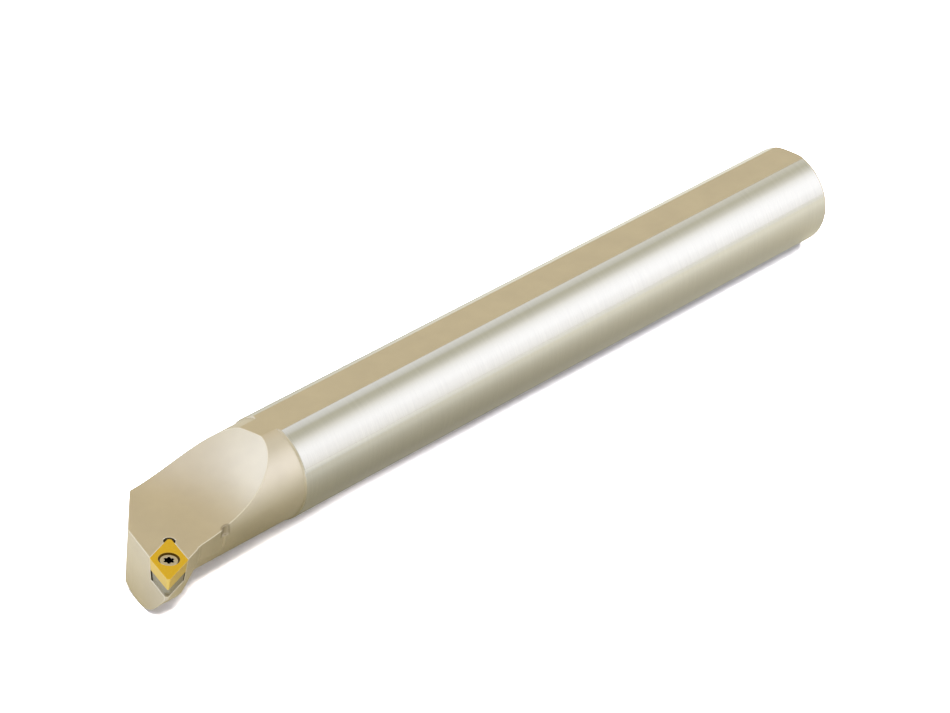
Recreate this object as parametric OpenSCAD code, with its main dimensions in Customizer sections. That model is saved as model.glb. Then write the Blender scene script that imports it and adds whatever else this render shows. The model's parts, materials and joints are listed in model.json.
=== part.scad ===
// Right-hand boring bar with a round steel shank, a 55 degree insert, a shim and two screws.
// The bar's axis is the X axis. The shank's end face is at x = 0 and the head points to -X.
// The cutting edge is level with the axis, and the nose reaches towards -Y.

/* [Shank] */
// Diameter of the ground shank
shank_d = 32; // [30:0.5:34]
// Length from the nose of the insert to the end face
total_length = 300; // [200:5:400]
// Depth of the two clamping flats, top and bottom
flat_depth = 1; // [0.6:0.1:1.4]
// Rounding of the edge around the end face
end_round = 1.4; // [0.6:0.1:2]

/* [Neck] */
// Length from the nose of the insert to the step in front of the ground shank
neck_length = 60.2; // [58:0.2:80]
// Height of that step
neck_step = 0.5; // [0.3:0.1:0.8]
// Chamfer on the front edge of the ground shank
ring_chamfer = 0.4; // [0.2:0.1:0.6]

/* [Head] */
// Distance from the axis to the nose of the insert
nose_offset = 22; // [21:0.5:23]
// Angle of the cutting edge past square to the axis
lead_angle = 17.5; // [15:0.5:20]
// Tilt of the head's top face, which rises away from the nose
face_tilt = 5; // [3:0.5:7]
// Relief of the front wall under the cutting edge
front_relief = 3.5; // [2:0.5:5]
// Relief of the wall behind the nose
trailing_relief = 5; // [3:0.5:5.5]
// How much further than the cutting edge the front wall falls back from the work
wall_turn = 1.2; // [0:0.2:2]
// Distance along the axis from the nose to the front wall's far corner
corner_x = 7.9; // [7:0.1:9]
// Distance of that corner from the bar's axis, on the side away from the nose
corner_y = 2.1; // [1:0.1:3]
// Radius of the rounded underside
belly_r = 15.3; // [15:0.1:15.8]
// How far the underside's centre is set towards the nose
belly_side = 2.4; // [2:0.1:3]
// How far the underside's centre is set below the axis
belly_drop = 3.9; // [3.5:0.1:4.3]
// Distance from the nose to the end of the underside's taper
belly_end = 19; // [18:0.5:24]

/* [Chip space] */
// Radius of the flat part of the top face
dish_flat_r = 23.3; // [20:0.1:26]
// Radius of the curve that rises from it to the neck
dish_curve_r = 42.6; // [40:0.2:48]
// Distance along the axis from the nose to the dish's centre
dish_x = 0; // [-3:0.5:2]
// Distance of the dish's centre from the bar's axis, towards the nose
dish_y = 0.6; // [-1:0.2:3]

/* [Insert and shim] */
// Diameter of the circle that fits inside the insert
insert_ic = 9.525; // [9.3:0.025:9.7]
// Thickness of the insert
insert_t = 3.97; // [3.7:0.01:4.1]
// Radius of the insert's corners
nose_r = 0.8; // [0.7:0.1:1.2]
// Relief of the insert's sides
insert_relief = 7; // [6:0.5:7.5]
// Diameter of the insert's hole
insert_hole_d = 4.4; // [4.2:0.1:4.6]
// Thickness of the shim
shim_t = 3.18; // [3:0.01:3.3]

/* [Screws] */
// Thread diameter of the insert's screw
screw_d = 3.5; // [3.2:0.1:3.6]
// Diameter of the insert screw's head
screw_head_d = 5.3; // [5.2:0.05:5.3]
// Depth of the screw's head below the top of the insert
screw_sunk = 0.4; // [0.3:0.05:0.45]
// Diameter of the countersink at the top of the insert
mouth_d = 6.15; // [6.1:0.05:6.3]
// Distance across the points of the six-lobed socket
socket_d = 3.27; // [2.8:0.01:3.4]
// Outside diameter of the hollow shim screw
sleeve_d = 5; // [4.8:0.1:5.2]
// Length of the hollow shim screw below the shim
sleeve_length = 4.5; // [4:0.1:5]

/* [Hidden] */
$fn = 72;

// Clearances from the pocket wall to the insert and to the shim, and around a screw's thread
pocket_gap = 0.02;
shim_gap = 0.15;
thread_gap = 0.05;

// Size of a half space, and how far a cut reaches past the surface that it opens
big = 90;
cut = 1;

shank_r = shank_d / 2;
neck_r = shank_r - neck_step;
flat_z = shank_r - flat_depth;
nose_x = -total_length;
ring_x = nose_x + neck_length;

// Half corner angles of the insert, its half diagonals, and the directions of its edges from +X
acute = 55;
tip_half = acute / 2;
side_half = 90 - tip_half;
edge = insert_ic / sin(acute);
long_half = edge * cos(tip_half);
front_dir = 90 - lead_angle;
middle_dir = front_dir - tip_half;
trail_dir = front_dir - acute;

// The nose arc touches both reference lines, so the sharp corner lies a little outside them
arc_back = nose_r / sin(tip_half);
sharp = [nose_r - arc_back * cos(middle_dir), nose_r - arc_back * sin(middle_dir)];

// Walls of the head, placed from the nose. The ridge below the nose, where the front wall and the
// trailing wall meet, carries a narrow flat.
wall_inset = 0.2;
wall_start = sharp + wall_inset / sin(tip_half) * [cos(middle_dir), sin(middle_dir)];
front_wall_far = wall_start + edge * [cos(front_dir), sin(front_dir)];
ridge_back = 0.9;
ridge_relief = 9;
ridge_flat = wall_start + ridge_back * [cos(middle_dir), sin(middle_dir)];
side_wall_end = [27.3, nose_offset - 15.6];
side_wall_dir = 4;
side_relief = 7;
corner_dir = 225;
run_out_r = 1.3;
run_out_bite = 0.8;
run_out_depth = 1.9;
run_out_x = side_wall_end.x + 1.1;

// Slope of the tangent that joins the underside to the nose
belly_tangent = 45;

// Swelling beside the side wall, which stands a little out of the neck near the cutting height
collar_r = neck_r + 1;
collar_rise = 1.8;
collar_top = 3;
collar_end = run_out_x - 0.6;

taper_slope = 0.5;
taper_start = -3;
chip_height = 20;

// Seat of the insert
seat_depth = insert_t + shim_t;
corner_hole_r = 1.75;
corner_hole_back = 1.8;
corner_hole_deeper = 0.6;
shim_inset = 0.12;
shim_tip_r = 1.5;
shim_side_r = 1.2;

// Screws
sleeve_head_r = 3.2;
sleeve_head_t = 1.1;
sleeve_head_sunk = 0.1;
key_r = 2.02;
key_depth = 0.9;
head_edge = 0.15;

// Cone that the screw's head sits on, given by the radius it would have at the top of the insert,
// and the wider flare above it, down to the depth where the two meet
seat_slope = tan(30);
flare_slope = 1;
seat_r = screw_head_d / 2 + (screw_sunk + head_edge) * seat_slope;
mouth_r = mouth_d / 2;
flare_depth = (mouth_r - seat_r) / (flare_slope - seat_slope);
screw_length = 9.5;
screw_point = 0.4;
socket_depth = 1.5;
lobe_r = 0.43;

// Places its children at the nose, square to the tilted top face
module at_nose() {
    translate([nose_x, -nose_offset, 0]) rotate([face_tilt, 0, 0]) children();
}

// Places its children at the middle of the insert's top, with +X towards its back corner
module at_seat() {
    at_nose() translate([sharp.x, sharp.y, 0]) rotate([0, 0, middle_dir])
        translate([long_half, 0, 0]) children();
}

// All that lies to the left of a wall through a point. The wall leans to the left as it goes down.
module left_of(point, dir, lean) {
    translate([point.x, point.y, 0]) rotate([0, 0, dir]) rotate([lean, 0, 0])
        translate([-big, 0, -big]) cube([2 * big, big, 2 * big]);
}

// All that lies to the right of the same wall
module right_of(point, dir, lean) {
    translate([point.x, point.y, 0]) rotate([0, 0, dir]) rotate([lean, 0, 0])
        translate([-big, -big, -big]) cube([2 * big, big, 2 * big]);
}

// What a rounded corner takes off a leaning rhombus. The corner points to +X.
module corner_trim(reach, half, r, low, high) {
    middle = reach - r / sin(half);
    slope = tan(insert_relief);
    difference() {
        right_of([middle + r * sin(half), 0], 90, atan(slope * sin(half)));
        translate([middle, 0, low - cut / 10])
            cylinder(h = high - low + cut / 5, r1 = r + (low - cut / 10) * slope,
                     r2 = r + (high + cut / 10) * slope);
    }
}

// Rhombus with leaning sides and rounded corners. Its sizes are those it would have at height 0.
module rhombus(inset, tip_r, side_r, low, high) {
    reach = long_half - inset / sin(tip_half);
    difference() {
        intersection() {
            left_of([-reach, 0], -tip_half, insert_relief);
            left_of([reach, 0], tip_half, insert_relief);
            left_of([reach, 0], 180 - tip_half, insert_relief);
            left_of([-reach, 0], 180 + tip_half, insert_relief);
            translate([-big / 2, -big / 2, low]) cube([big, big, high - low]);
        }
        for (turn = [0, 180]) {
            rotate([0, 0, turn]) corner_trim(reach, tip_half, tip_r, low, high);
            rotate([0, 0, turn + 90]) corner_trim(reach * tan(tip_half), side_half, side_r, low, high);
        }
    }
}

// Outline of the ground shank, as radius and place along the axis
module shank_outline() {
    polygon([[0, ring_x], [shank_r - ring_chamfer, ring_x], [shank_r, ring_x + ring_chamfer],
             [shank_r, -end_round], [shank_r - end_round, 0], [0, 0]]);
    translate([shank_r - end_round, -end_round]) circle(end_round);
}

// Ground shank and neck with the two flats
module shank() {
    intersection() {
        union() {
            rotate([0, 90, 0]) rotate_extrude() shank_outline();
            translate([nose_x + taper_start, 0, 0]) rotate([0, 90, 0])
                cylinder(h = neck_length - taper_start + cut, r = neck_r);
        }
        translate([nose_x - big, -big, -flat_z]) cube([total_length + 2 * big, 2 * big, 2 * flat_z]);
    }
}

// Cross-section of the underside: a circle, and its 45 degree tangent up to the nose
module belly_outline() {
    middle = [-belly_side, -belly_drop];
    touch = middle - belly_r * [sin(belly_tangent), cos(belly_tangent)];
    out = touch + belly_r * [-cos(belly_tangent), sin(belly_tangent)];
    translate(middle) circle(belly_r);
    polygon([middle, touch, out, [out.x, collar_top], [middle.x, collar_top]]);
}

// Swollen underside of the head, tapered down to the neck
module belly() {
    taper_length = belly_end - taper_start;
    translate([nose_x + taper_start, 0, 0]) intersection() {
        rotate([90, 0, 90]) linear_extrude(taper_length) belly_outline();
        rotate([0, 90, 0])
            cylinder(h = taper_length, r1 = neck_r + taper_slope * taper_length, r2 = neck_r);
    }
}

// Shallow swelling of the neck behind the nose
module collar() {
    intersection() {
        translate([nose_x, 0, collar_rise]) rotate([0, 90, 0]) cylinder(h = collar_end, r = collar_r);
        translate([nose_x, -big, -big]) cube([total_length, big, big + collar_top]);
    }
}

// Room for the chips: a flat floor that curves up to the neck all around
module chip_space() {
    at_nose() translate([dish_x, nose_offset - dish_y, 0]) rotate_extrude() intersection() {
        union() {
            square([dish_flat_r, dish_curve_r]);
            translate([dish_flat_r, dish_curve_r]) circle(dish_curve_r);
        }
        square([big, chip_height]);
    }
}

// What the walls around the nose take off the head
module outside_walls() {
    at_nose() {
        right_of(front_wall_far, front_dir + 180 - wall_turn, front_relief);
        right_of(ridge_flat, middle_dir - 90, ridge_relief);
        right_of([corner_x, nose_offset + corner_y], corner_dir, 0);
        intersection() {
            right_of(wall_start, trail_dir, trailing_relief);
            right_of(side_wall_end, side_wall_dir, side_relief);
            translate([run_out_x - big, -big, -big]) cube([big, 2 * big, 2 * big]);
        }
        translate([run_out_x, side_wall_end.y + run_out_bite - run_out_r, -run_out_depth])
            cylinder(h = run_out_depth + chip_height, r = run_out_r);
    }
}

// Space between the two back walls of the pocket, down to one level
module pocket_level(gap, low, high) {
    reach = long_half + gap / sin(tip_half);
    intersection() {
        left_of([reach, 0], tip_half, insert_relief);
        left_of([reach, 0], 180 - tip_half, insert_relief);
        translate([-big / 2, -big / 2, low]) cube([big, big, high - low]);
    }
}

// Pocket for the insert and the shim, with the hole in its corner and the screw's hole
module pocket() {
    at_seat() {
        pocket_level(pocket_gap, -insert_t - cut, cut);
        pocket_level(shim_gap, -seat_depth, -insert_t);
        translate([long_half - corner_hole_back, 0, -seat_depth - corner_hole_deeper])
            cylinder(h = seat_depth + corner_hole_deeper + cut, r = corner_hole_r);
        translate([0, 0, -big / 2]) cylinder(h = big / 2, r = sleeve_d / 2 + thread_gap);
    }
}

// One-piece steel bar: shank, neck and head
module bar() {
    color([0.77, 0.73, 0.64]) difference() {
        union() {
            shank();
            belly();
            collar();
        }
        chip_space();
        outside_walls();
        pocket();
    }
}

// Carbide shim under the insert
module shim() {
    slope = tan(insert_relief);
    tip_r = shim_tip_r + insert_t * slope;
    side_r = shim_side_r + insert_t * slope;
    recess = sleeve_head_t + sleeve_head_sunk;
    color([0.36, 0.36, 0.35]) at_seat() difference() {
        rhombus(shim_inset, tip_r, side_r, -seat_depth, -insert_t);
        translate([0, 0, -seat_depth - cut]) cylinder(h = shim_t + 2 * cut, r = sleeve_d / 2 + thread_gap);
        translate([0, 0, -insert_t - recess]) cylinder(h = recess + cut, r = sleeve_head_r + thread_gap);
    }
}

// Hollow screw that holds the shim down and takes the insert's screw
module shim_screw() {
    top = -insert_t - sleeve_head_sunk;
    color([0.25, 0.25, 0.26]) at_seat() difference() {
        union() {
            translate([0, 0, top - sleeve_head_t]) cylinder(h = sleeve_head_t, r = sleeve_head_r);
            translate([0, 0, -seat_depth - sleeve_length])
                cylinder(h = shim_t + sleeve_length - sleeve_head_sunk, r = sleeve_d / 2);
        }
        translate([0, 0, -big / 2]) cylinder(h = big / 2, r = screw_d / 2 + thread_gap);
        translate([0, 0, top - key_depth]) cylinder(h = key_depth + cut, r = key_r, $fn = 6);
    }
}

// Coated carbide insert with a countersunk hole
module insert() {
    hole_r = insert_hole_d / 2;
    seat_low = -(seat_r - hole_r) / seat_slope;
    color([0.86, 0.69, 0.16]) at_seat() difference() {
        rhombus(0, nose_r, nose_r, -insert_t, 0);
        translate([0, 0, -insert_t - cut]) cylinder(h = insert_t + 2 * cut, r = hole_r);
        translate([0, 0, seat_low]) cylinder(h = cut - seat_low, r1 = hole_r, r2 = seat_r + cut * seat_slope);
        translate([0, 0, -flare_depth])
            cylinder(h = cut + flare_depth, r1 = mouth_r - flare_depth * flare_slope,
                     r2 = mouth_r + cut * flare_slope);
    }
}

// Outline of the screw's six-lobed socket
module socket_outline() {
    lobe_x = socket_d / 2 - lobe_r;
    circle(lobe_x);
    for (k = [0:5]) rotate(60 * k) translate([lobe_x, 0]) circle(lobe_r);
}

// Countersunk screw through the insert
module insert_screw() {
    screw_r = screw_d / 2;
    rim_r = screw_head_d / 2;
    color([0.62, 0.60, 0.56]) at_seat() difference() {
        rotate_extrude() polygon([
            [0, -screw_sunk], [rim_r - head_edge, -screw_sunk], [rim_r, -screw_sunk - head_edge],
            [screw_r, -(seat_r - screw_r) / seat_slope], [screw_r, screw_point - screw_length],
            [screw_r - screw_point, -screw_length], [0, -screw_length]]);
        translate([0, 0, -screw_sunk - socket_depth]) linear_extrude(socket_depth + cut) socket_outline();
    }
}

bar();
shim();
shim_screw();
insert();
insert_screw();
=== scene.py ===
"""Right-hand boring bar: satin nickel head, ground steel shank, gold-coated insert, shim and two screws."""

import json
from math import cos, radians, sin, tau

import bpy
from mathutils import Matrix, Vector


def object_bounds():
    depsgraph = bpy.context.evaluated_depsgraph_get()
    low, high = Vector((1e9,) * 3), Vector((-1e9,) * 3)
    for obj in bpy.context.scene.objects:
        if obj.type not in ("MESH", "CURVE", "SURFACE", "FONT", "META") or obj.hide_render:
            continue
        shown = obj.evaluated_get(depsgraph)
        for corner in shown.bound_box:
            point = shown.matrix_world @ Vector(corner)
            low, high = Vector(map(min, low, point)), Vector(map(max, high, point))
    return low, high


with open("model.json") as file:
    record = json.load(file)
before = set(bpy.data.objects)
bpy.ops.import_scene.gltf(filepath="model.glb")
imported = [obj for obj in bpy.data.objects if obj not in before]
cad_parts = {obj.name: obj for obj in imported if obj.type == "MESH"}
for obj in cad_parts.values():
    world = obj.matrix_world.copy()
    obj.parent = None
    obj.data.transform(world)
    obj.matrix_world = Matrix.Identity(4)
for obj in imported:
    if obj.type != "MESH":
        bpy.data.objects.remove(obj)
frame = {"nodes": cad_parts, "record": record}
cad_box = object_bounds()
mounts = {mount["name"]: mount for mount in frame["record"]["mounts"]}

MM = 0.001

# Sizes and places on the part are in millimetres. The nose of the insert is at the corner of the part's
# box, level with the shank's axis.
NOSE = Vector((cad_box[0].x / MM, cad_box[0].y / MM, 0.0))

# The ground shank and its flats, its rounded end, and the chamfered step between it and the neck
SHANK_R = mounts["shank"]["dims"]["r_mm"]
FLAT_Z = mounts["top_flat"]["pos_m"][2] / MM
END_ROUND = 1.4
HEAD_AND_NECK = 60.2
RING_X = NOSE.x + HEAD_AND_NECK
RING_CHAMFER = 0.4

# The tilt of the head's face, and the middle of the scoop in it
FACE_TILT = radians(5)
SCOOP = NOSE + Vector((0.0, 21.4, 1.87))

# The screw's axis meets the top of the insert here. The tilted face gives the axis its direction.
SEAT = NOSE + Vector((6.87, 6.84, 0.60))
SEAT_AXIS = Vector((0.0, -sin(FACE_TILT), cos(FACE_TILT)))
MOUTH_R = 3.08
SCREW_SUNK = 0.4

# Axis and radius of the small run-out that the cutter left where the side wall ends, and the heights
# between which its painted shade fades
RUN_OUT = NOSE + Vector((28.4, 5.88, 0.51))
RUN_OUT_R = 1.3
RUN_OUT_SHADE_FADE = (-0.4, -1.9)

# Lowest points of the bar, which lies on its head and on the shank's end
HEAD_FOOT = Vector((NOSE.x + 11.4, 0.0, -19.2))
END_FOOT = Vector((0.0, 0.0, -FLAT_Z))

# The photograph's camera: its place in metres, its directions, its lens and sensor, and the picture's width
CAMERA_PLACE = Vector((-0.972587, -0.718218, 0.623015))
CAMERA_RIGHT = Vector((0.66892823, -0.74286507, 0.02620127))
CAMERA_UP = Vector((0.35308407, 0.34856504, 0.86823617))
LENS = 159.5
SENSOR_WIDTH = 36
PICTURE_WIDTH = 950

# The pale room that the metal mirrors: its walls, its ceiling, and the sine of the elevation at which
# the walls start to turn into the ceiling
ROOM_WALL = (0.748, 0.714, 0.574, 1)
ROOM_CEILING = (0.828, 0.781, 0.688, 1)
CEILING_FROM = 0.72

# Soft boxes: azimuth and elevation of the middle, outer and inner radius in degrees, and the light added
SOFT_BOXES = (
    ((-35.5, 17), 37, 8, (0.578, 0.608, 0.768, 1)),
    ((-32, 25), 19, 11, (0.100, 0.108, 0.123, 1)),
    ((5, 52.5), 12.5, 2.5, (0.348, 0.370, 0.480, 1)),
    ((119, 37), 30, 20, (0.510, 0.600, 0.800, 1)),
)

# Darker gaps between them: the same, with the share of the light that is left there
GAPS = (
    ((-16, 55.5), 18, 9, (0.866, 0.878, 0.875, 1)),
    ((41, 46), 26, 20, (0.854, 0.777, 0.624, 1)),
)

# Half the side of the square floor, in metres
FLOOR_HALF = 6

# The table as the metal mirrors it, with painted shade and painted pools of light: the colour at the
# neck's underside, and what is added to it from one place to another along an axis, in metres. It is
# darkest under the neck and beside the bar, as painted shade.
TABLE = (0.47, 0.445, 0.33, 1)
TABLE_STEPS = (
    ("X", -0.26, -0.20, (0.00, 0.02, 0.09, 1)),
    ("X", -0.250, -0.230, (0.13, 0.12, 0.09, 1)),
    ("X", -0.253, -0.273, (0.13, 0.12, 0.10, 1)),
    ("X", -0.22, 0.06, (0.34, 0.34, 0.34, 1)),
    ("Y", -0.01, 0.03, (0.20, 0.22, 0.26, 1)),
    ("Y", -0.012, -0.085, (0.28, 0.30, 0.34, 1)),
    ("Y", -0.13, -0.22, (0.02, 0.04, 0.13, 1)),
    ("X", -0.290, -0.310, (0.14, 0.22, 0.46, 1)),
)

# Painted light: the table glows, though it is no lamp, under the shank, around the head and in front of the
# head
GLOW_UNDER = 0.10
GLOW_AROUND = 0.05
GLOW_FRONT = 0.145
GLOW_SHANK_TINT = (1, 0.99, 0.93, 1)
GLOW_HEAD_TINT = (1, 0.93, 0.70, 1)

# Where that light changes, in metres: sideways, from no light to the full light under the shank, and along
# the bar, from the shank's light to the head's and from the head's to the light in front of it
UNDER_SHANK = (0.020, 0.009)
SHANK_TO_HEAD = (-0.20, -0.26)
HEAD_TO_FRONT = (-0.256, -0.300)

# The table as the camera sees it: overexposed, with a narrow cool shadow close to the bar. The reach is
# in metres. The head stands higher than the shank, so its shadow starts at a more open place, and the
# change from one to the other lies between two places along the bar.
TABLE_SEEN = (5.0, 5.1, 6.3, 1)
SHADOW = (1.00, 1.03, 1.29, 1)
SHADOW_REACH = 0.008
SHANK_OPEN = 0.242
HEAD_OPEN = 0.440
OPEN_RANGE = 0.13
SHADOW_TO_HEAD = (-0.210, -0.275)

# The wave texture repeats after this length at scale 1
WAVE_LENGTH = 0.314


def colour(text):
    """Linear RGBA of an sRGB hex colour."""
    parts = [int(text[i:i + 2], 16) / 255 for i in (1, 3, 5)]
    return [p / 12.92 if p <= 0.04045 else ((p + 0.055) / 1.055) ** 2.4 for p in parts] + [1.0]


def add(tree, kind, inputs, out=0, **settings):
    """Adds a node and returns one of its outputs. An input is a plain value or another node's output."""
    node = tree.nodes.new("ShaderNode" + kind)
    for name, value in settings.items():
        setattr(node, name, value)
    for name, value in inputs.items():
        if isinstance(value, bpy.types.NodeSocket):
            tree.links.new(value, node.inputs[name])
        else:
            node.inputs[name].default_value = value
    return node.outputs[out] if len(node.outputs) else None


def direction(azimuth, elevation):
    """Unit vector, with the azimuth in degrees from +X towards +Y."""
    a, e = radians(azimuth), radians(elevation)
    return (cos(e) * cos(a), cos(e) * sin(a), sin(e))


def new_tree(owner):
    """Empty node tree of a material or a world."""
    owner.use_nodes = True
    owner.node_tree.nodes.clear()
    return owner.node_tree


def make_camera():
    """Camera at the photograph's place. Its centre lies half a pixel off the picture's middle."""
    half_pixel = 0.5 * SENSOR_WIDTH / LENS / PICTURE_WIDTH
    forward = CAMERA_RIGHT.cross(CAMERA_UP) * -1 - CAMERA_RIGHT * half_pixel + CAMERA_UP * half_pixel
    forward.normalize()
    right = forward.cross(CAMERA_UP).normalized()
    up = right.cross(forward)
    data = bpy.data.cameras.new("photo_camera")
    data.sensor_fit = "HORIZONTAL"
    data.sensor_width = SENSOR_WIDTH
    data.lens = LENS
    data.clip_start = 0.01
    data.clip_end = 50
    camera = bpy.data.objects.new("photo_camera", data)
    bpy.context.scene.collection.objects.link(camera)
    turn = Matrix((right, up, -forward)).transposed().to_4x4()
    camera.matrix_world = Matrix.Translation(CAMERA_PLACE) @ turn
    bpy.context.scene.camera = camera


def make_world():
    """Pale studio room with soft boxes and darker gaps for the metal, and white for the camera."""
    world = bpy.data.worlds.new("studio")
    bpy.context.scene.world = world
    tree = new_tree(world)
    way = add(tree, "TexCoord", {}, "Generated")
    height = add(tree, "SeparateXYZ", {0: way}, "Z")
    lift = add(tree, "MapRange", {"Value": height, "From Min": CEILING_FROM, "From Max": 1.0},
               interpolation_type="SMOOTHSTEP")
    light = add(tree, "Mix", {0: lift, 6: ROOM_WALL, 7: ROOM_CEILING}, 2, data_type="RGBA")
    for blend, patches in (("ADD", SOFT_BOXES), ("MULTIPLY", GAPS)):
        for middle, outer, inner, strength in patches:
            facing = add(tree, "VectorMath", {0: way, 1: direction(*middle)}, "Value",
                         operation="DOT_PRODUCT")
            angle = add(tree, "Math", {0: facing}, operation="ARCCOSINE")
            inside = add(tree, "MapRange", {"Value": angle, "From Min": radians(outer),
                                            "From Max": radians(inner)}, interpolation_type="SMOOTHSTEP")
            light = add(tree, "Mix", {0: inside, 6: light, 7: strength}, 2, data_type="RGBA",
                        blend_type=blend)
    seen = add(tree, "LightPath", {}, "Is Camera Ray")
    shown = add(tree, "Mix", {0: seen, 6: light, 7: (1, 1, 1, 1)}, 2, data_type="RGBA")
    add(tree, "OutputWorld", {"Surface": add(tree, "Background", {"Color": shown})})


def table_for_metal(tree, split):
    """The table as the metal mirrors it, with painted shade and a painted glow. Places on it are in metres.
    """
    shade = TABLE
    for axis, low, high, more in TABLE_STEPS:
        part = add(tree, "MapRange", {"Value": split[axis], "From Min": low, "From Max": high},
                   interpolation_type="SMOOTHSTEP")
        shade = add(tree, "Mix", {0: part, 6: shade, 7: more}, 2, data_type="RGBA", blend_type="ADD")
    # Painted light: the table's glow under the shank, around the head and in front of it
    off_axis = add(tree, "Math", {0: split["Y"]}, operation="ABSOLUTE")
    under = add(tree, "MapRange", {"Value": off_axis, "From Min": UNDER_SHANK[0],
                                   "From Max": UNDER_SHANK[1], "To Max": GLOW_UNDER},
                interpolation_type="SMOOTHSTEP")
    ahead = add(tree, "MapRange", {"Value": split["X"], "From Min": SHANK_TO_HEAD[0],
                                   "From Max": SHANK_TO_HEAD[1]}, interpolation_type="SMOOTHSTEP")
    glow = add(tree, "Mix", {0: ahead, 2: under, 3: GLOW_AROUND})
    front = add(tree, "MapRange", {"Value": split["X"], "From Min": HEAD_TO_FRONT[0],
                                   "From Max": HEAD_TO_FRONT[1], "To Max": GLOW_FRONT},
                interpolation_type="SMOOTHSTEP")
    glow = add(tree, "Math", {0: glow, 1: front}, operation="ADD")
    warmth = add(tree, "Mix", {0: ahead, 6: GLOW_SHANK_TINT, 7: GLOW_HEAD_TINT}, 2, data_type="RGBA")
    return add(tree, "AddShader", {0: add(tree, "BsdfDiffuse", {"Color": shade}),
                                   1: add(tree, "Emission", {"Color": warmth, "Strength": glow})})


def table_for_camera(tree, split):
    """The overexposed table with the bar's shadow. Places on it are in metres."""
    lowest = add(tree, "MapRange", {"Value": split["X"], "From Min": SHADOW_TO_HEAD[0],
                                    "From Max": SHADOW_TO_HEAD[1], "To Min": SHANK_OPEN,
                                    "To Max": HEAD_OPEN})
    highest = add(tree, "Math", {0: lowest, 1: OPEN_RANGE}, operation="ADD")
    free = add(tree, "AmbientOcclusion", {"Distance": SHADOW_REACH}, "AO", samples=16)
    free = add(tree, "MapRange", {"Value": free, "From Min": lowest, "From Max": highest},
               interpolation_type="SMOOTHSTEP")
    table = add(tree, "Mix", {0: free, 6: SHADOW, 7: TABLE_SEEN}, 2, data_type="RGBA")
    return add(tree, "BsdfDiffuse", {"Color": table})


def make_floor():
    """Pale floor that touches the head's underside and the shank's end."""
    middle = (HEAD_FOOT + END_FOOT) / 2 * MM
    along = (END_FOOT - HEAD_FOOT).normalized() * FLOOR_HALF
    side = Vector((0, FLOOR_HALF, 0))
    mesh = bpy.data.meshes.new("floor")
    mesh.from_pydata([middle - along - side, middle + along - side, middle + along + side,
                      middle - along + side], [], [(0, 1, 2, 3)])
    floor = bpy.data.objects.new("floor", mesh)
    bpy.context.scene.collection.objects.link(floor)
    paint = bpy.data.materials.new("pale_floor_paint")
    mesh.materials.append(paint)
    tree = new_tree(paint)
    place = add(tree, "TexCoord", {}, "Object")
    split = {axis: add(tree, "SeparateXYZ", {0: place}, axis) for axis in "XY"}
    mirrored = table_for_metal(tree, split)
    shown = table_for_camera(tree, split)
    seen = add(tree, "LightPath", {}, "Is Camera Ray")
    add(tree, "OutputMaterial", {"Surface": add(tree, "MixShader", {0: seen, 1: mirrored, 2: shown})})


make_camera()
make_world()
make_floor()


def new_material(name):
    """New material, its empty node tree, and the place of each point on the part in metres."""
    material = bpy.data.materials.new(name)
    tree = new_tree(material)
    return material, tree, add(tree, "TexCoord", {}, "Object")


def grain(tree, place, sizes, detail=2.0):
    """Noise from 0 to 1. Its grains have these sizes in millimetres along X, Y and Z."""
    scaled = add(tree, "VectorMath", {0: place, 1: [1 / (size * MM) for size in sizes]}, operation="MULTIPLY")
    return add(tree, "TexNoise", {"Vector": scaled, "Scale": 1.0, "Detail": detail, "Roughness": 0.6})


def vary(tree, factor, low, high):
    """Brings a value that swings around one half to the range low to high."""
    return add(tree, "MapRange", {"Value": factor, "From Min": 0.3, "From Max": 0.7, "To Min": low,
                                  "To Max": high})


def rounded_edges_and_highlight(tree, width):
    """Normals rounded over the sharp edges, and a mask of the outer edges alone for a painted highlight:
    normals turned by more than 6 to 18 degrees, where the sky is open. The width is in millimetres."""
    rounded = add(tree, "Bevel", {"Radius": width * MM}, samples=6)
    true = add(tree, "NewGeometry", {}, "Normal")
    same = add(tree, "VectorMath", {0: rounded, 1: true}, "Value", operation="DOT_PRODUCT")
    turned = add(tree, "MapRange", {"Value": same, "From Min": 0.995, "From Max": 0.95})
    open_sky = add(tree, "AmbientOcclusion", {"Distance": 1.5 * width * MM}, "AO", samples=6)
    outer = add(tree, "MapRange", {"Value": open_sky, "From Min": 0.80, "From Max": 0.95})
    return rounded, add(tree, "Math", {0: turned, 1: outer}, operation="MULTIPLY")


def from_seat(tree, place):
    """Distance from the screw's axis, and depth below the top of the insert, in metres."""
    offset = add(tree, "VectorMath", {0: place, 1: SEAT * MM}, operation="SUBTRACT")
    height = add(tree, "VectorMath", {0: offset, 1: SEAT_AXIS}, "Value", operation="DOT_PRODUCT")
    across = add(tree, "VectorMath", {0: offset, 1: SEAT_AXIS}, operation="CROSS_PRODUCT")
    depth = add(tree, "Math", {0: height, 1: -1.0}, operation="MULTIPLY")
    return add(tree, "VectorMath", {0: across}, "Value", operation="LENGTH"), depth


def on_ground_shank(tree, split, radius):
    """1 on the round, ground face of the shank, between its step and its rounded end, and 0 elsewhere."""
    height = add(tree, "Math", {0: split["Z"]}, operation="ABSOLUTE")
    ground = 1.0
    for value, test, limit in (
        (radius, "GREATER_THAN", SHANK_R - 0.1),
        (height, "LESS_THAN", FLAT_Z - 0.004),
        (split["X"], "GREATER_THAN", RING_X + RING_CHAMFER / 2),
        (split["X"], "LESS_THAN", -END_ROUND),
    ):
        inside = add(tree, "Math", {0: value, 1: limit * MM}, operation=test)
        ground = add(tree, "Math", {0: inside, 1: ground}, operation="MULTIPLY")
    return ground


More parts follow.
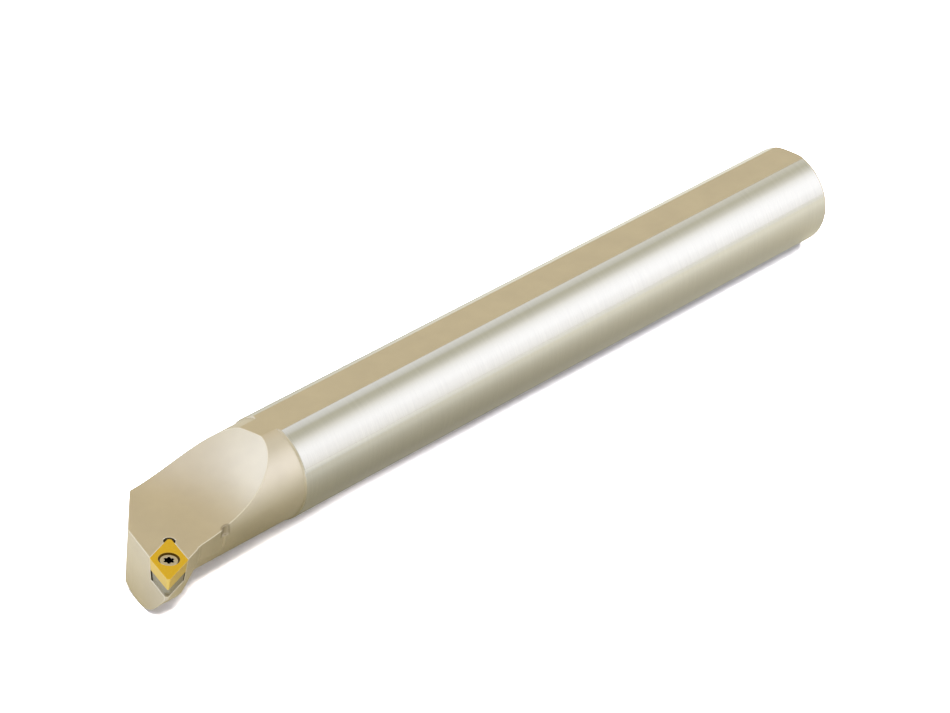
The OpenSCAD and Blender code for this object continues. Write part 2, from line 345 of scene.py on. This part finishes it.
def beside_run_out(tree, place):
    """0 in the run-out and at its edges, rising to 1 beside it."""
    offset = add(tree, "VectorMath", {0: place, 1: RUN_OUT * MM}, operation="SUBTRACT")
    offset = add(tree, "VectorMath", {0: offset, 1: SEAT_AXIS}, operation="CROSS_PRODUCT")
    offset = add(tree, "VectorMath", {0: offset}, "Value", operation="LENGTH")
    return add(tree, "MapRange", {"Value": offset, "From Min": (RUN_OUT_R + 0.2) * MM,
                                  "From Max": (RUN_OUT_R + 0.9) * MM}, interpolation_type="SMOOTHSTEP")


def nickelled_steel():
    """Turned and milled steel under satin nickel, warm and soft. The round shank was ground after
    plating, so it is bare, colder and nearly a mirror."""
    material, tree, place = new_material("satin_nickel_and_ground_steel")
    split = {axis: add(tree, "SeparateXYZ", {0: place}, axis) for axis in "XYZ"}
    across = add(tree, "VectorMath", {0: place, 1: (0, 1, 1)}, operation="MULTIPLY")
    radius = add(tree, "VectorMath", {0: across}, "Value", operation="LENGTH")
    ground = on_ground_shank(tree, split, radius)
    rounded, edge_highlight = rounded_edges_and_highlight(tree, 0.45)
    # Satin plating: fine grain of the blasted surface, drawn at 0.25 mm so that it shows
    satin = grain(tree, place, (0.25, 0.25, 0.25))
    # Soft clouds in the plating, 9 mm across
    cloudy = grain(tree, place, (9, 9, 9))
    # Milling marks: arcs around the scoop's middle, 0.5 mm apart
    from_scoop = add(tree, "VectorMath", {0: place, 1: SCOOP * MM}, operation="SUBTRACT")
    arcs = add(tree, "TexWave", {"Vector": from_scoop, "Scale": WAVE_LENGTH / (0.5 * MM), "Distortion": 0.6,
                                 "Detail": 1.0}, "Fac",
               wave_type="RINGS", rings_direction="Z", wave_profile="SIN")
    # Grinding marks run around the shank, drawn 0.3 mm wide
    rings = grain(tree, place, (0.3, 12, 12), 3.0)

    nickel = add(tree, "Mix", {0: vary(tree, cloudy, 0, 1), 6: colour("#DFD7CA"), 7: colour("#E5DDCF")}, 2,
                 data_type="RGBA")
    # Painted shade: the cutter's run-out is painted a little darker near its top, where shade falls in the
    # recess. Its edges and the shank's stay dull, without the painted highlight.
    beside = beside_run_out(tree, place)
    below = add(tree, "MapRange", {"Value": split["Z"], "From Min": RUN_OUT_SHADE_FADE[0] * MM,
                                   "From Max": RUN_OUT_SHADE_FADE[1] * MM})
    clear = add(tree, "Math", {0: beside, 1: below}, operation="MAXIMUM")
    nickel = add(tree, "Mix", {0: clear, 6: colour("#BBB2A4"), 7: nickel}, 2, data_type="RGBA")
    head = add(tree, "MapRange", {"Value": split["X"], "From Min": (RING_X - 0.2) * MM,
                                  "From Max": (RING_X - 0.5) * MM})
    for place_of_edge in (beside, head):
        edge_highlight = add(tree, "Math", {0: edge_highlight, 1: place_of_edge}, operation="MULTIPLY")
    # Painted highlight: the head's outer edges are painted near white
    nickel = add(tree, "Mix", {0: edge_highlight, 6: nickel, 7: colour("#FFF9EC")}, 2, data_type="RGBA")
    steel = add(tree, "Mix", {0: vary(tree, rings, 0, 1), 6: colour("#D5D4D1"), 7: colour("#DCDBD7")}, 2,
                data_type="RGBA")
    tint = add(tree, "Mix", {0: ground, 6: nickel, 7: steel}, 2, data_type="RGBA")
    soft = vary(tree, satin, 0.36, 0.43)
    bright = vary(tree, rings, 0.07, 0.11)
    roughness = add(tree, "Mix", {0: ground, 2: soft, 3: bright})
    marks = add(tree, "Mix", {0: 0.7, 2: arcs, 3: satin})
    relief = add(tree, "Mix", {0: ground, 2: marks, 3: rings})
    depth = add(tree, "Mix", {0: ground, 2: 0.0030 * MM, 3: 0.0006 * MM})
    bumped = add(tree, "Bump", {"Height": relief, "Distance": depth, "Strength": 1.0, "Normal": rounded})
    shader = add(tree, "BsdfPrincipled", {"Base Color": tint, "Metallic": 1.0, "Roughness": roughness,
                                          "Normal": bumped})
    add(tree, "OutputMaterial", {"Surface": shader})
    return material


def gold_nitride():
    """Pressed and sintered carbide under a gold titanium nitride coating: satin, faintly speckled, with
    a painted highlight on the honed edges, flanks painted paler, and painted shade in the screw's
    countersink."""
    material, tree, place = new_material("gold_nitride_coating")
    rounded, edge_highlight = rounded_edges_and_highlight(tree, 0.12)
    radius, _ = from_seat(tree, place)
    hole_shade = add(tree, "MapRange", {"Value": radius, "From Min": (MOUTH_R + 0.02) * MM,
                                     "From Max": (MOUTH_R - 0.06) * MM})
    # Specks in the coating, drawn 0.3 mm wide so that they show
    speck = grain(tree, place, (0.3, 0.3, 0.3), 3.0)
    coat = add(tree, "Mix", {0: vary(tree, speck, 0, 1), 6: colour("#FCCD32"), 7: colour("#FFDF4A")}, 2,
               data_type="RGBA")
    # Painted light: the flanks are painted paler than the top
    facing = add(tree, "NewGeometry", {}, "True Normal")
    facing = add(tree, "VectorMath", {0: facing, 1: SEAT_AXIS}, "Value", operation="DOT_PRODUCT")
    flank_light = add(tree, "MapRange", {"Value": facing, "From Min": 0.6, "From Max": 0.2})
    coat = add(tree, "Mix", {0: flank_light, 6: coat, 7: colour("#F9DD83")}, 2, data_type="RGBA")
    # Painted highlight on the honed edges
    coat = add(tree, "Mix", {0: edge_highlight, 6: coat, 7: colour("#FFE69A")}, 2, data_type="RGBA")
    # Painted shade: inside the screw's countersink the coat is painted dark brown
    coat = add(tree, "Mix", {0: hole_shade, 6: coat, 7: colour("#54400F")}, 2, data_type="RGBA")
    roughness = vary(tree, speck, 0.30, 0.40)
    bumped = add(tree, "Bump", {"Height": speck, "Distance": 0.0030 * MM, "Strength": 1.0,
                                "Normal": rounded})
    shader = add(tree, "BsdfPrincipled", {"Base Color": coat, "Metallic": 1.0, "Roughness": roughness,
                                          "Normal": bumped})
    add(tree, "OutputMaterial", {"Surface": shader})
    return material


def ground_carbide():
    """Bare cemented carbide, ground on its sides: grey, with faint scratches and a painted highlight on the
    edges.
    """
    material, tree, place = new_material("ground_cemented_carbide")
    rounded, edge_highlight = rounded_edges_and_highlight(tree, 0.10)
    # Grinding scratches run around the shim, 0.12 mm apart
    scratches = grain(tree, place, (1.5, 1.5, 0.12), 3.0)
    grey = add(tree, "Mix", {0: vary(tree, scratches, 0, 1), 6: colour("#9E9B91"), 7: colour("#BFBCB0")}, 2,
               data_type="RGBA")
    # Painted highlight: the outer edges are painted paler
    grey = add(tree, "Mix", {0: edge_highlight, 6: grey, 7: colour("#C9C6BC")}, 2, data_type="RGBA")
    roughness = vary(tree, scratches, 0.34, 0.46)
    bumped = add(tree, "Bump", {"Height": scratches, "Distance": 0.0030 * MM, "Strength": 1.0,
                                "Normal": rounded})
    shader = add(tree, "BsdfPrincipled", {"Base Color": grey, "Metallic": 1.0, "Roughness": roughness,
                                          "Normal": bumped})
    add(tree, "OutputMaterial", {"Surface": shader})
    return material


def blackened_steel():
    """Hardened steel with a black oxide finish: nearly black, with a dull sheen."""
    material, tree, place = new_material("blackened_steel")
    # Patches in the oxide, drawn 0.4 mm wide so that they show
    oxide = grain(tree, place, (0.4, 0.4, 0.4))
    black = add(tree, "Mix", {0: vary(tree, oxide, 0, 1), 6: colour("#2C2B2A"), 7: colour("#454340")}, 2,
                data_type="RGBA")
    shader = add(tree, "BsdfPrincipled", {"Base Color": black, "Metallic": 1.0,
                                          "Roughness": vary(tree, oxide, 0.38, 0.50)})
    add(tree, "OutputMaterial", {"Surface": shader})
    return material


def turned_screw():
    """Turned steel head, warm silver with fine rings from the lathe and a painted highlight on its edges.
    The pressed socket is painted dark as painted shade.
    """
    material, tree, place = new_material("turned_screw_steel")
    rounded, edge_highlight = rounded_edges_and_highlight(tree, 0.08)
    radius, depth = from_seat(tree, place)
    socket = add(tree, "MapRange", {"Value": depth, "From Min": (SCREW_SUNK + 0.10) * MM,
                                    "From Max": (SCREW_SUNK + 0.22) * MM})
    # Lathe rings, 0.16 mm apart
    rings = add(tree, "Math", {0: radius, 1: tau / (0.16 * MM)}, operation="MULTIPLY")
    rings = add(tree, "Math", {0: rings}, operation="SINE")
    rings = add(tree, "MapRange", {"Value": rings, "From Min": -1.0, "From Max": 1.0})
    silver = add(tree, "Mix", {0: rings, 6: colour("#D5CCBC"), 7: colour("#E9E2D6")}, 2, data_type="RGBA")
    # Painted highlight on the outer edges
    silver = add(tree, "Mix", {0: edge_highlight, 6: silver, 7: colour("#F6F2E8")}, 2, data_type="RGBA")
    # Painted shade: deep in the pressed socket the steel is painted nearly black
    silver = add(tree, "Mix", {0: socket, 6: silver, 7: colour("#1A1714")}, 2, data_type="RGBA")
    bumped = add(tree, "Bump", {"Height": rings, "Distance": 0.0010 * MM, "Strength": 1.0,
                                "Normal": rounded})
    shader = add(tree, "BsdfPrincipled", {"Base Color": silver, "Metallic": 1.0, "Roughness": 0.26,
                                          "Normal": bumped})
    add(tree, "OutputMaterial", {"Surface": shader})
    return material


FINISHES = {
    "bar": nickelled_steel(),
    "shim": ground_carbide(),
    "shim_screw": blackened_steel(),
    "insert": gold_nitride(),
    "insert_screw": turned_screw(),
}
for node, finish in FINISHES.items():
    for slot in frame["nodes"][node].material_slots:
        slot.material = finish

bpy.context.scene.view_settings.view_transform = "Standard"
